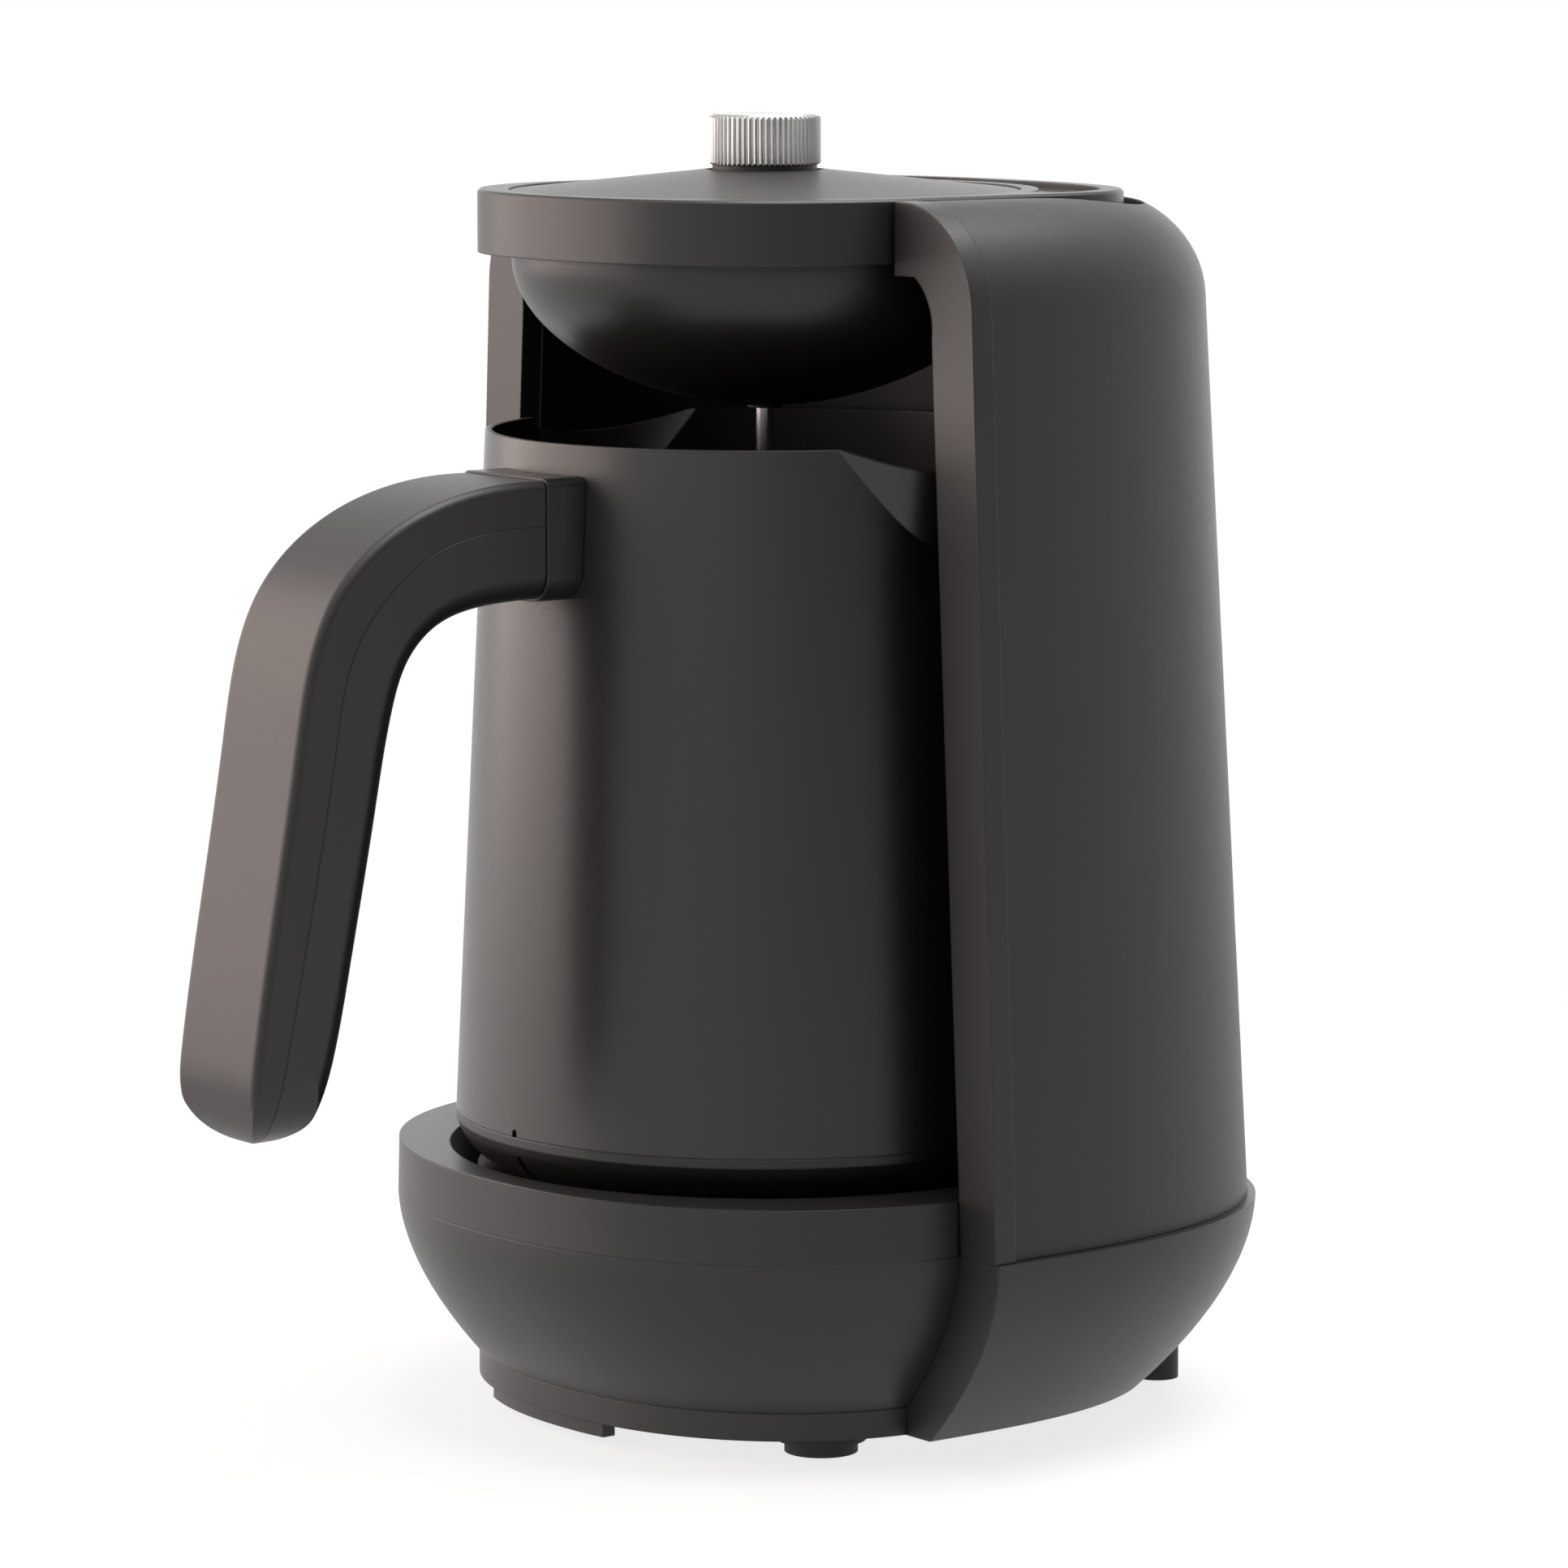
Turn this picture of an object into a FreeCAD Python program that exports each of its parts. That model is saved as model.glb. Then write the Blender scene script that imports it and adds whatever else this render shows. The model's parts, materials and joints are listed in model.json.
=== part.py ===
# Electric Turkish coffee maker: a lift-off pot in the bay of a tall tower, under a tilting head.
import FreeCAD, Part
import math
import os

os.makedirs("parts", exist_ok=True)
V = FreeCAD.Vector

# Overall layout. The pot axis is x = 0, y = 0, the handle points to -Y and the feet stand on z = 0.
handle_reach = 118.1
rear_reach = 86.0
origin_shift = (handle_reach - rear_reach) / 2
frame_front_y = -10.2
frame_back_y = -5.8
seam_z = 38.5

# Base
deck_a = 68.1
deck_b = 62.6
deck_n = 2.2
deck_top_z = 48.2
deck_draft = 0.23
deck_wall = 2.5
deck_plate = 2.2
recess_top_r = 57.0
recess_floor_r = 52.0
recess_floor_z = 44.2
bowl_wall = 2.5
bowl_bottom_z = 9.5
bowl_turn = 18.6
bowl_power = 1.78
bowl_depth = 34.0
plinth_a = 54.0
plinth_b = 48.4
plinth_bottom_z = 4.5
plinth_lip_z = 1.8
plinth_lip_left = -25.0
plinth_lip_right = 13.0
lip_a = 78.8
shell_wall = 3.4
shell_turn = 18.7
shell_power = 1.83
back_joint_y = -7.7
plate_thick = 2.5
front_foot_x = 38.0
front_foot_y = -17.0
front_foot_r = 6.5
front_boss_r = 8.0
foot_pad_z = 2.2
rear_foot_x = 29.5
rear_foot_y = 68.5
rear_foot_r = 4.1
gland_z = 20.0
gland_neck_r = 4.4
gland_flange_r = 6.4
gland_bore_r = 3.3
gland_out_y = 82.0

# Tower
cover_a = 77.0
cover_b = 85.0
cover_n = 2.5
cover_taper_x = 0.046
cover_taper_y = 0.0555
cover_wall = 2.2
frame_proud = 0.9
tower_top_z = 219.2
tower_round = 18.0
bay_half_low = 68.15
bay_taper = 0.055
bay_b = 63.0
bay_wall = 2.2
bridge_low_z = 206.5
bridge_corner_x = 54.8
bridge_corner_z = 196.0
head_gap = 0.5
well_x = 51.6
well_b = 34.6
well_wall = 2.0
rear_cut_y = 34.0
rear_cut_z = 201.0

# Head
head_a = 48.84
head_b = 48.73
head_n = 2.33
head_low_z = 208.4
head_top_z = 219.6
head_straight_y = 30.0
head_tail = 30.0
head_wall = 2.6
ledge_low_z = 214.4
ledge_top_z = 216.4
ledge_r = 43.5
lid_seat_r = 45.6
lid_r = 45.2
lid_edge_z = 219.3
lid_inner_r = 10.6
lid_inner_z = 223.0
lid_thick = 2.4
dish_r = 45.0
dish_straight_z = 207.1
dish_bottom_z = 181.1
dish_wall = 2.0
hinge_y = 50.0
hinge_z = 214.6
hinge_pin_r = 1.5
pin_half = 45.4
running_fit = 0.05
knuckle_r = 3.8
rod_r = 1.55
rod_tip_z = 160.0
rod_top_z = 205.0

# Selector knob
knob_r = 10.0
knob_low_z = 223.85
knob_top_z = 232.8
knob_bevel = 0.5
knob_flutes = 60
flute_depth = 0.45
sleeve_r = 9.3
sleeve_low_z = 221.6
spigot_r = 7.0
collar_bore_r = 9.4
collar_top_z = 222.7
collar_low_z = 219.3
board_low_z = 211.0
board_thick = 1.6
board_r = 30.0
encoder_top_z = 218.4
plunger_r = 3.0
plunger_low_z = 216.4
plunger_top_z = 219.6

# Pot
pot_seam_z = 54.7
pot_seam_r = 55.8
pot_rim_z = 176.9
pot_rim_r = 49.9
pot_wall = 1.3
pot_floor_z = 60.0
pot_bottom_z = 44.2
pot_foot_r = 43.5
spout_x = 36.0
spout_r = 22.0
spout_drop = 18.0
spout_root_x = 38.7
spout_root_r = 12.0
spout_dip_x = 46.0
spout_dip = 5.0
dock_post_r = 13.6
dock_fit = 0.9
drain_width = 1.3

# Handle
handle_half = 12.2
handle_fillet = 1.6
grip_fillet = 5.0
arm_collar_y = -57.0
arm_low_z = 150.2
arm_top_z = 171.4
tongue_z = 159.0
tongue_thick = 2.6
tongue_half = 7.0
tongue_end_y = -82.0


def superellipse_points(a, b, n, z, centre_y=0.0, start=0.0, stop=360.0, count=48):
    """Points on a superellipse, measured by the angle round its centre."""
    points = []
    for i in range(count):
        angle = math.radians(start + (stop - start) * i / count)
        c = abs(math.cos(angle)) / a
        s = abs(math.sin(angle)) / b
        radius = (c ** n + s ** n) ** (-1.0 / n)
        points.append(V(radius * math.cos(angle), centre_y + radius * math.sin(angle), z))
    return points


def oval(a, b, n, z):
    """A closed, smooth superellipse outline at height z."""
    curve = Part.BSplineCurve()
    curve.interpolate(Points=superellipse_points(a, b, n, z), PeriodicFlag=True)
    return Part.Wire(curve.toShape())


def skin(wires, ruled=False):
    """A solid through a stack of closed outlines."""
    return Part.makeLoft(wires, True, ruled)


def block(x0, x1, y0, y1, z0, z1):
    """A box between two corners."""
    return Part.makeBox(x1 - x0, y1 - y0, z1 - z0, V(x0, y0, z0))


def disc(r, z0, z1, x=0.0, y=0.0):
    """An upright cylinder."""
    return Part.makeCylinder(r, z1 - z0, V(x, y, z0), V(0, 0, 1))


def turned(r0, r1, z0, z1):
    """An upright truncated cone on the pot axis."""
    return Part.makeCone(r0, r1, z1 - z0, V(0, 0, z0), V(0, 0, 1))


def revolved(points):
    """A ring or cup turned round the pot axis from an (r, z) outline of straight edges."""
    outline = Part.makePolygon([V(r, 0, z) for r, z in points + points[:1]])
    return Part.Face(outline).revolve(V(0, 0, 0), V(0, 0, 1), 360)


def both_sides(shape):
    """The piece and its twin on the other side of the middle plane."""
    return Part.makeCompound([shape, shape.mirror(V(0, 0, 0), V(1, 0, 0))])


def front_of(shape, y):
    """The part of a shape in front of a plane."""
    return shape.common(block(-150, 150, -200, y, -10, 300))


def behind(shape, y):
    """The part of a shape behind a plane."""
    return shape.common(block(-150, 150, y, 200, -10, 300))


def save(name, shape):
    """Write one piece, shifted so that the origin is under the middle of the whole machine."""
    placed = shape.copy()
    placed.translate(V(0, origin_shift, 0))
    placed.exportStep("parts/" + name + ".step")
    print(name, len(placed.Solids), placed.isValid(), round(placed.Volume))


# Base

def bowl_inset(z):
    """How far the front bowl has drawn in below its seam."""
    depth = max(0.0, (seam_z - z) / bowl_depth)
    return bowl_turn * depth ** bowl_power


def shell_inset(z):
    """How far the rear shell has drawn in below its lip."""
    depth = max(0.0, (seam_z - z) / bowl_depth)
    return shell_turn * depth ** shell_power


def levels(low, high, count):
    """Evenly spaced heights from high to low."""
    return [high + (low - high) * i / (count - 1) for i in range(count)]


def bowl_skin(wall, low):
    """The bowl's rounded form, drawn in by a wall thickness."""
    wires = []
    for z in levels(low, seam_z, 8):
        inset = bowl_inset(z) + wall
        wires.append(oval(deck_a - inset, deck_b - inset, deck_n, z))
    return skin(wires)


def shell_skin(wall, low):
    """The rear shell's rounded form, drawn in by a wall thickness."""
    wires = []
    for z in levels(low, seam_z, 8):
        inset = shell_inset(z) + wall
        wires.append(oval(lip_a - inset, rear_reach - inset, cover_n, z))
    return skin(wires)


def plinth_solid(wall, low, high):
    """The straight foot under the bowl."""
    a = plinth_a - wall
    b = plinth_b - wall
    return skin([oval(a, b, deck_n, low), oval(a, b, deck_n, high)], True)


def post_places():
    """Where the screws from below enter the deck."""
    return [(-20.0, -34.0), (20.0, -34.0), (-40.0, 26.0), (40.0, 26.0)]


def base_screw(x, y):
    """A countersunk screw from below."""
    head = disc(3.0, plinth_bottom_z, plinth_bottom_z + 1.4, x, y)
    shank = disc(1.5, plinth_bottom_z + 1.4, plinth_bottom_z + 14.0, x, y)
    return head.fuse(shank)


def base_screws():
    """All four base screws."""
    return Part.makeCompound([base_screw(x, y) for x, y in post_places()])


def make_front_bowl():
    """The rounded bowl under the deck, open at both ends."""
    shell = bowl_skin(0.0, bowl_bottom_z).cut(bowl_skin(bowl_wall, bowl_bottom_z))
    return front_of(shell, back_joint_y)


def make_plinth():
    """The straight skirt under the bowl, with a lower lip in front."""
    ring = plinth_solid(0.0, plinth_bottom_z, bowl_bottom_z)
    ring = ring.cut(plinth_solid(bowl_wall, plinth_bottom_z, bowl_bottom_z))
    lip = plinth_solid(1.2, plinth_lip_z, plinth_bottom_z)
    lip = lip.cut(plinth_solid(bowl_wall + 1.2, plinth_lip_z, plinth_bottom_z))
    lip = lip.common(block(plinth_lip_left, plinth_lip_right, -60, -20, 0, 10))
    return front_of(ring, back_joint_y).fuse(lip)


def make_rear_shell():
    """The wide shell under the tower, with a flat front that frames the bowl."""
    outer = shell_skin(0.0, plinth_bottom_z)
    inner = shell_skin(shell_wall, plinth_bottom_z)
    tub = behind(outer.cut(inner), frame_front_y)
    face = behind(front_of(outer, back_joint_y), frame_front_y)
    face = face.cut(bowl_skin(0.0, bowl_bottom_z))
    face = face.cut(plinth_solid(0.0, plinth_bottom_z, bowl_bottom_z))
    tub = tub.cut(bowl_skin(0.0, bowl_bottom_z)).fuse(face)
    return tub.cut(gland_neck())


def make_bottom_plate():
    """The closing plate inside the lower rim."""
    top = plinth_bottom_z + plate_thick
    front = front_of(plinth_solid(bowl_wall, plinth_bottom_z, top), back_joint_y)
    rear = shell_skin(shell_wall, plinth_bottom_z).common(
        block(-100, 100, back_joint_y, 100, plinth_bottom_z, top))
    return front.fuse(rear).cut(base_screws())


def deck_solid():
    """The outside of the deck ring."""
    low = oval(deck_a, deck_b, deck_n, seam_z)
    high = oval(deck_a - deck_draft, deck_b - deck_draft, deck_n, deck_top_z)
    return skin([low, high], True)


def make_deck():
    """The deck ring with its sunken seat for the pot and posts for the screws."""
    roof_z = deck_top_z - deck_plate
    a = deck_a - deck_wall
    b = deck_b - deck_wall
    hollow = skin([oval(a, b, deck_n, seam_z), oval(a, b, deck_n, roof_z)], True)
    pan_low = recess_floor_z - deck_plate
    pan = turned(recess_floor_r + deck_plate, recess_top_r + deck_plate + 0.4, pan_low, deck_top_z)
    deck = deck_solid().cut(hollow.cut(pan))
    deck = deck.cut(turned(recess_floor_r, recess_top_r, recess_floor_z, deck_top_z))
    for x, y in post_places():
        deck = deck.fuse(disc(4.0, plinth_bottom_z + plate_thick, pan_low, x, y))
    deck = deck.cut(base_screws())
    return deck.cut(disc(dock_post_r, pan_low - 1, recess_floor_z + 1))


def make_dock_post():
    """The round post that the pot plugs onto."""
    low = recess_floor_z - deck_plate - 3.0
    post = disc(dock_post_r, low, recess_floor_z + 3.2)
    flange = disc(dock_post_r + 5.0, low, recess_floor_z - deck_plate)
    groove = disc(9.4, recess_floor_z, recess_floor_z + 4).cut(disc(6.6, recess_floor_z, recess_floor_z + 4))
    return post.fuse(flange).cut(groove).cut(dock_pin())


def dock_pin():
    """The middle contact."""
    return disc(1.8, recess_floor_z - 2.0, recess_floor_z + 6.0)


def make_dock_contacts():
    """The middle pin and the ring round it."""
    ring = disc(8.5, recess_floor_z, recess_floor_z + 5.4).cut(disc(7.5, recess_floor_z, recess_floor_z + 5.4))
    return Part.makeCompound([dock_pin(), ring])


def make_front_feet():
    """Two stepped rubber feet at the front."""
    pad = disc(front_foot_r, 0.0, foot_pad_z, front_foot_x, front_foot_y)
    boss = disc(front_boss_r, foot_pad_z, plinth_bottom_z, front_foot_x, front_foot_y)
    return both_sides(pad.fuse(boss))


def make_rear_feet():
    """Two slim feet that reach up to the curved rear shell."""
    leg = disc(rear_foot_r, 0.0, 14.0, rear_foot_x, rear_foot_y)
    leg = leg.cut(shell_skin(0.0, plinth_bottom_z))
    return both_sides(leg)


def gland_neck():
    """The gland's neck through the rear shell."""
    return Part.makeCylinder(gland_neck_r, 14.0, V(0, gland_out_y - 14.0, gland_z), V(0, 1, 0))


def make_gland():
    """The round gland in the back of the base."""
    flange = Part.makeCylinder(gland_flange_r, 5.0, V(0, gland_out_y - 5.0, gland_z), V(0, 1, 0))
    flange = flange.cut(shell_skin(0.0, plinth_bottom_z))
    bore = Part.makeCylinder(gland_bore_r, 30.0, V(0, gland_out_y - 20.0, gland_z), V(0, 1, 0))
    return gland_neck().fuse(flange).cut(bore)


# Tower

def tower_skin(proud, wall, low):
    """The tower's form: it tapers upwards and is well rounded at the top."""
    wires = []
    turn_z = tower_top_z - tower_round
    for z in [low, (low + turn_z) / 2]:
        wires.append((z, wall))
    for step in range(9):
        angle = math.radians(90.0 * step / 8)
        radius = tower_round - wall
        wires.append((turn_z + radius * math.sin(angle), wall + radius * (1 - math.cos(angle))))
    ovals = []
    for z, inset in wires:
        a = cover_a + proud - cover_taper_x * (z - seam_z) - inset
        b = cover_b + proud - cover_taper_y * (z - seam_z) - inset
        ovals.append(oval(a, b, cover_n, z))
    straight = skin(ovals[:3], True)
    return straight.fuse(skin(ovals[2:]))


def bay_half(z):
    """Half the width of the bay between the arms."""
    return bay_half_low - bay_taper * (z - seam_z)


def bay_skin(wall, low, high):
    """The bay's form behind the arms."""
    wires = [oval(bay_half(z) + wall, bay_b - bay_taper * (z - seam_z) + wall, deck_n, z) for z in (low, high)]
    return skin(wires, True)


def bay_opening(y0, y1):
    """The opening between the arms, with rounded upper corners, as a block along Y."""
    low = bay_half(seam_z - 1)
    high = bay_half(bridge_corner_z)
    start = V(high, y0, bridge_corner_z)
    middle = V(high - 1.3, y0, bridge_corner_z + 6.8)
    end = V(bridge_corner_x, y0, bridge_low_z)
    edges = [Part.makeLine(V(low, y0, seam_z - 1), start)]
    edges.append(Part.Arc(start, middle, end).toShape())
    edges.append(Part.makeLine(end, V(-end.x, y0, end.z)))
    edges.append(Part.Arc(V(-end.x, y0, end.z), V(-middle.x, y0, middle.z), V(-start.x, y0, start.z)).toShape())
    edges.append(Part.makeLine(V(-start.x, y0, start.z), V(-low, y0, seam_z - 1)))
    edges.append(Part.makeLine(V(-low, y0, seam_z - 1), V(low, y0, seam_z - 1)))
    return Part.Face(Part.Wire(edges)).extrude(V(0, y1 - y0, 0))


def well_prism(grow, low, high):
    """The round-ended well in which the head lies."""
    a = well_x + grow
    points = superellipse_points(a, well_b + grow, head_n, low, head_straight_y, 0.0, 180.0, 24)
    points.append(V(-a, head_straight_y, low))
    curve = Part.BSplineCurve()
    curve.interpolate(Points=points)
    edges = [curve.toShape()]
    corners = [V(-a, head_straight_y, low), V(-a, frame_back_y, low), V(a, frame_back_y, low),
               V(a, head_straight_y, low)]
    for first, second in zip(corners, corners[1:]):
        edges.append(Part.makeLine(first, second))
    return Part.Face(Part.Wire(edges)).extrude(V(0, 0, high - low))


def make_frame():
    """The front frame: two arms whose tops turn in to meet the head."""
    slab = tower_skin(frame_proud, 0.0, seam_z).common(block(-100, 100, frame_front_y, frame_back_y, 0, 300))
    slab = slab.cut(bay_opening(frame_front_y - 1, frame_back_y + 1))
    head_way = head_a + head_gap
    slab = slab.cut(block(-head_way, head_way, -50, 50, bridge_low_z - 1, 300))
    slab = slab.cut(deck_solid())
    return slab.cut(tower_screws())


def make_cover():
    """The big rear cover, open at the front and cut out at the top for the head."""
    shell = tower_skin(0.0, 0.0, seam_z).cut(tower_skin(0.0, cover_wall, seam_z))
    shell = behind(shell, frame_back_y)
    shell = shell.cut(well_prism(0.0, rear_cut_z, tower_top_z + 5))
    return shell.cut(hinge_axle(hinge_pin_r, pin_half))


def make_bay_wall():
    """The curved wall behind the pot, with flanges screwed to the frame."""
    wall = bay_skin(bay_wall, deck_top_z, bridge_low_z).cut(bay_skin(0.0, deck_top_z, bridge_low_z))
    wall = behind(wall, frame_back_y)
    flange = tower_skin(0.0, cover_wall + 0.6, seam_z)
    flange = flange.common(block(-100, 100, frame_back_y, frame_back_y + bay_wall, deck_top_z, 196))
    flange = flange.cut(bay_skin(0.0, deck_top_z, bridge_low_z))
    wall = wall.fuse(flange)
    return wall.cut(block(-80, 80, rear_cut_y, 90, rear_cut_z, 220)).cut(tower_screws())


def hinge_axle(r, half):
    """A bar along the hinge axis."""
    return Part.makeCylinder(r, 2 * half, V(-half, hinge_y, hinge_z), V(1, 0, 0))


def make_top_frame():
    """The well wall and flange that carry the hinge pin."""
    skin_z = tower_top_z - cover_wall
    wall = well_prism(well_wall, bridge_low_z, skin_z).cut(well_prism(0.0, bridge_low_z, skin_z))
    flange = bay_skin(bay_wall, bridge_low_z, bridge_low_z + 2.0)
    flange = behind(flange, frame_back_y).cut(well_prism(0.0, bridge_low_z, skin_z))
    ledge = wall.fuse(flange).common(tower_skin(0.0, cover_wall, seam_z))
    return ledge.cut(hinge_axle(hinge_pin_r, 60))


def make_hinge_pin():
    """The steel pin of the head."""
    return hinge_axle(hinge_pin_r, pin_half)


def tower_screw(x, z):
    """A screw from behind into an arm."""
    head_y = frame_back_y + bay_wall
    head = Part.makeCylinder(2.6, 1.6, V(x, head_y, z), V(0, 1, 0))
    shank = Part.makeCylinder(1.3, 5.2, V(x, head_y - 5.2, z), V(0, 1, 0))
    return head.fuse(shank)


def tower_screws():
    """Three screws in each arm."""
    screws = []
    for z, x in [(62.0, 70.2), (120.0, 67.4), (180.0, 64.3)]:
        screws.append(tower_screw(x, z))
        screws.append(tower_screw(-x, z))
    return Part.makeCompound(screws)


def standoff(x, z):
    """A pillar from the bay wall to the power board."""
    return Part.makeCylinder(2.4, 24.0, V(x, 47.0, z), V(0, 1, 0))


def make_standoffs():
    """Four pillars behind the bay wall."""
    pillars = [standoff(x, z) for x in (-20.0, 20.0) for z in (76.0, 124.0)]
    solid = bay_skin(bay_wall, deck_top_z, bridge_low_z)
    return Part.makeCompound([pillar.cut(solid) for pillar in pillars])


def make_power_board():
    """The board that switches the mains to the dock."""
    return block(-25, 25, 71.0, 72.6, 70, 130)


def make_power_parts():
    """Relay, capacitors and transformer on the power board."""
    relay = block(-20, -4, 66.0, 71.0, 86, 104)
    transformer = block(2, 20, 65.5, 71.0, 84, 100)
    cans = [Part.makeCylinder(3.0, 4.5, V(x, 66.5, 112.0), V(0, 1, 0)) for x in (-10.0, 0.0, 10.0)]
    return Part.makeCompound([relay, transformer] + cans)


# Head

def head_outline(inset, z):
    """The head seen from above: rounded in front, straight sides, rounded tail."""
    a = head_a - inset
    left = V(-a, 0, z)
    right = V(a, 0, z)
    tail_right = V(a, head_straight_y, z)
    tail_left = V(-a, head_straight_y, z)
    front = superellipse_points(a, head_b - inset, head_n, z, 0.0, 180.0, 360.0, 24) + [right]
    rear = superellipse_points(a, head_tail - inset, head_n, z, head_straight_y, 0.0, 180.0, 24) + [tail_left]
    nose = Part.BSplineCurve()
    nose.interpolate(Points=front)
    tail = Part.BSplineCurve()
    tail.interpolate(Points=rear)
    return Part.Wire([nose.toShape(), Part.makeLine(right, tail_right), tail.toShape(),
                      Part.makeLine(tail_left, left)])


def head_prism(inset, low, high):
    """A straight block with the head's outline."""
    return Part.Face(head_outline(inset, low)).extrude(V(0, 0, high - low))


def make_head_ring():
    """The band round the head with its ledge, flat tail plate and hinge bosses."""
    edge = 0.5
    ring = head_prism(0.0, head_low_z, head_top_z - edge)
    ring = ring.fuse(skin([head_outline(0.0, head_top_z - edge), head_outline(edge, head_top_z)], True))
    ring = ring.cut(head_prism(head_wall, head_low_z, ledge_low_z))
    under_tail = head_prism(head_wall, ledge_low_z, ledge_top_z + 0.4)
    ring = ring.cut(under_tail.cut(disc(lid_seat_r + 2.0, head_low_z, head_top_z)))
    tray = behind(head_prism(4.0, head_top_z - 1.4, head_top_z + 1), 28.0)
    ring = ring.cut(tray.cut(disc(lid_seat_r + 3.0, head_low_z, head_top_z + 2)))
    ring = ring.cut(disc(ledge_r, head_low_z, head_top_z + 1))
    ring = ring.cut(disc(lid_seat_r, ledge_top_z, head_top_z + 1))
    for x in (-36.0, 27.0):
        boss = Part.makeCylinder(knuckle_r, 9.0, V(x, hinge_y, hinge_z), V(1, 0, 0))
        ring = ring.fuse(boss.common(head_prism(0.0, head_low_z, head_top_z - edge)))
    return ring.cut(hinge_axle(hinge_pin_r + running_fit, 60))


def make_underplate():
    """The plate that closes the tail from below."""
    plate = behind(head_prism(head_wall, head_low_z, head_low_z + 2.0), 22.0)
    return plate.cut(disc(dish_r + 0.6, head_low_z - 1, head_low_z + 3))


def dish_cup(inset):
    """The dish's bowl form as a solid, drawn in by a thickness."""
    reach = dish_r - inset
    depth = dish_straight_z - dish_bottom_z - inset
    power = 1.87
    points = []
    for i in range(13):
        angle = math.radians(90.0 * i / 12)
        c = math.cos(angle)
        s = math.sin(angle)
        scale = (c ** power + s ** power) ** (-1.0 / power)
        points.append(V(reach * scale * c, 0, dish_straight_z - depth * scale * s))
    points[-1] = V(0, 0, dish_straight_z - depth)
    curve = Part.BSplineCurve()
    curve.interpolate(Points=points)
    top = V(reach, 0, ledge_low_z)
    middle = V(0, 0, ledge_low_z)
    edges = [curve.toShape(), Part.makeLine(points[-1], middle), Part.makeLine(middle, top),
             Part.makeLine(top, points[0])]
    return Part.Face(Part.Wire(edges)).revolve(V(0, 0, 0), V(0, 0, 1), 360)


def make_dish():
    """The round-bottomed dish under the head, with a hole for the rod."""
    dish = dish_cup(0.0).cut(dish_cup(dish_wall))
    return dish.cut(disc(2 * rod_r, dish_bottom_z - 2, dish_bottom_z + 6))


def post_ring():
    """Where the lid's three posts hold the board."""
    return [(24.0 * math.cos(math.radians(a)), 24.0 * math.sin(math.radians(a))) for a in (90, 210, 330)]


def head_screw(x, y):
    """A pan-head screw up into a post."""
    head = disc(2.6, board_low_z - 1.5, board_low_z, x, y)
    return head.fuse(disc(1.2, board_low_z, board_low_z + 6.0, x, y))


def head_screws():
    """The three board screws."""
    return Part.makeCompound([head_screw(x, y) for x, y in post_ring()])


def make_lid():
    """The low conical lid with three posts underneath."""
    flat_z = lid_inner_z - lid_thick - 0.2
    outline = [(lid_r, ledge_top_z), (lid_r, lid_edge_z), (lid_inner_r, lid_inner_z),
               (lid_inner_r, flat_z), (14.0, flat_z), (41.0, 217.2), (41.0, ledge_top_z)]
    lid = revolved(outline)
    for x, y in post_ring():
        lid = lid.fuse(disc(3.0, board_low_z + board_thick, 219.7, x, y))
    return lid.cut(head_screws())


def make_collar():
    """The black ring in the middle of the lid."""
    flat_z = lid_inner_z - lid_thick - 0.2
    ring = disc(lid_inner_r, collar_low_z, collar_top_z).fuse(disc(12.4, collar_low_z, flat_z))
    return ring.cut(disc(collar_bore_r, collar_low_z - 1, collar_top_z + 1))


def make_knob():
    """The silver knob with fine vertical flutes."""
    points = []
    for i in range(2 * knob_flutes):
        angle = math.pi * i / knob_flutes
        radius = knob_r - (flute_depth if i % 2 else 0.0)
        points.append(V(radius * math.cos(angle), radius * math.sin(angle), knob_low_z))
    star = Part.Face(Part.makePolygon(points + points[:1])).extrude(V(0, 0, knob_top_z - knob_low_z))
    body = disc(knob_r, knob_low_z, knob_top_z - knob_bevel)
    body = body.fuse(turned(knob_r, knob_r - knob_bevel, knob_top_z - knob_bevel, knob_top_z))
    return body.common(star).cut(disc(spigot_r, knob_low_z - 1, knob_low_z + 5.0))


def make_sleeve():
    """The black sleeve and shaft inside the knob."""
    sleeve = disc(sleeve_r, sleeve_low_z, knob_low_z)
    sleeve = sleeve.fuse(disc(spigot_r, knob_low_z, knob_low_z + 5.0))
    sleeve = sleeve.fuse(disc(4.0, plunger_top_z, sleeve_low_z))
    return sleeve.cut(disc(1.5 + running_fit, plunger_top_z - 1, plunger_top_z + 2.6))


def make_plunger():
    """The plunger that the knob pushes down."""
    return disc(plunger_r, plunger_low_z, plunger_top_z).fuse(disc(1.5, plunger_top_z, plunger_top_z + 2.0))


def make_encoder():
    """The rotary switch with a bore for the plunger."""
    top = board_low_z + board_thick
    body = block(-7, 7, -7, 7, top, encoder_top_z)
    return body.cut(disc(plunger_r + running_fit, top + 1.0, encoder_top_z + 1))


def make_spring():
    """The small spring under the plunger, as a thin sleeve."""
    low = board_low_z + board_thick + 1.0
    return disc(2.4, low, plunger_low_z).cut(disc(2.0, low, plunger_low_z))


def make_board():
    """The round board under the lid."""
    return disc(board_r, board_low_z, board_low_z + board_thick).cut(head_screws())


def make_rod():
    """The thin sensing rod that dips into the pot."""
    tip = Part.makeSphere(rod_r, V(0, 0, rod_tip_z + rod_r))
    return disc(rod_r, rod_tip_z + rod_r, rod_top_z).fuse(tip)


def make_rod_holder():
    """The block that hangs the rod from the board."""
    return disc(4.5, rod_top_z - 7.0, board_low_z).cut(disc(rod_r, rod_top_z - 8.0, rod_top_z))


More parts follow.
